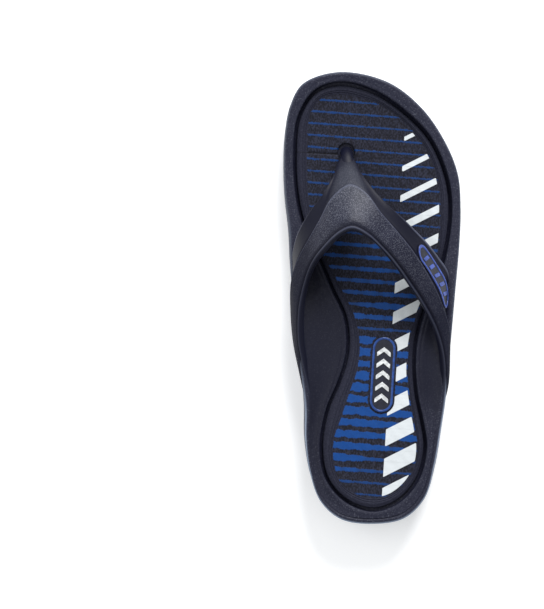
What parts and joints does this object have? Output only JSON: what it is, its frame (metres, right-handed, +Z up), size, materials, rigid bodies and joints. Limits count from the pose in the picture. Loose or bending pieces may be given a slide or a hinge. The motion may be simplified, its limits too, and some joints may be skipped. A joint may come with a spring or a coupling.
{
  "type": "flip flop",
  "caption": "Right-foot thong sandal with a studded outsole, raised rim, waisted insole and a moulded V strap; the sole flexes at the ball.",
  "frame": {"origin": "centre of the outline, on the ground", "axes": "+Y towards the toe, +X towards the outer side of the right foot, +Z up"},
  "size_m": [0.1108, 0.28, 0.0612],
  "materials": {
    "outsole": "matt dark navy tread rubber, ribbed and studded",
    "midsole": "dark navy moulded foam rubber with a fine grained rim",
    "insole": "near-black textured sheet with a blue and white print",
    "strap": "dark navy moulded rubber, smooth facets and a grained inner panel",
    "washer": "plain moulded plastic",
    "badge": "dark inset with a raised bright blue border and plain marks"
  },
  "bodies": {
    "heel_part": {"outsole_heel": "outsole", "midsole_heel": "midsole", "insole_heel": "insole", "strap": "strap", "insole_badge": "badge", "strap_badge": "badge"},
    "toe_part": {"outsole_toe": "outsole", "midsole_toe": "midsole", "insole_toe": "insole", "post_washer": "washer"}
  },
  "joints": [
    {"name": "toe_flex", "type": "hinge", "parent": "heel_part", "child": "toe_part", "pos_m": [0, 0.05, 0.0237], "axis": [1, 0, 0], "range_deg": [0, 35], "stiffness_Nm_per_rad": 1.5, "deforming": ["strap"]}
  ]
}
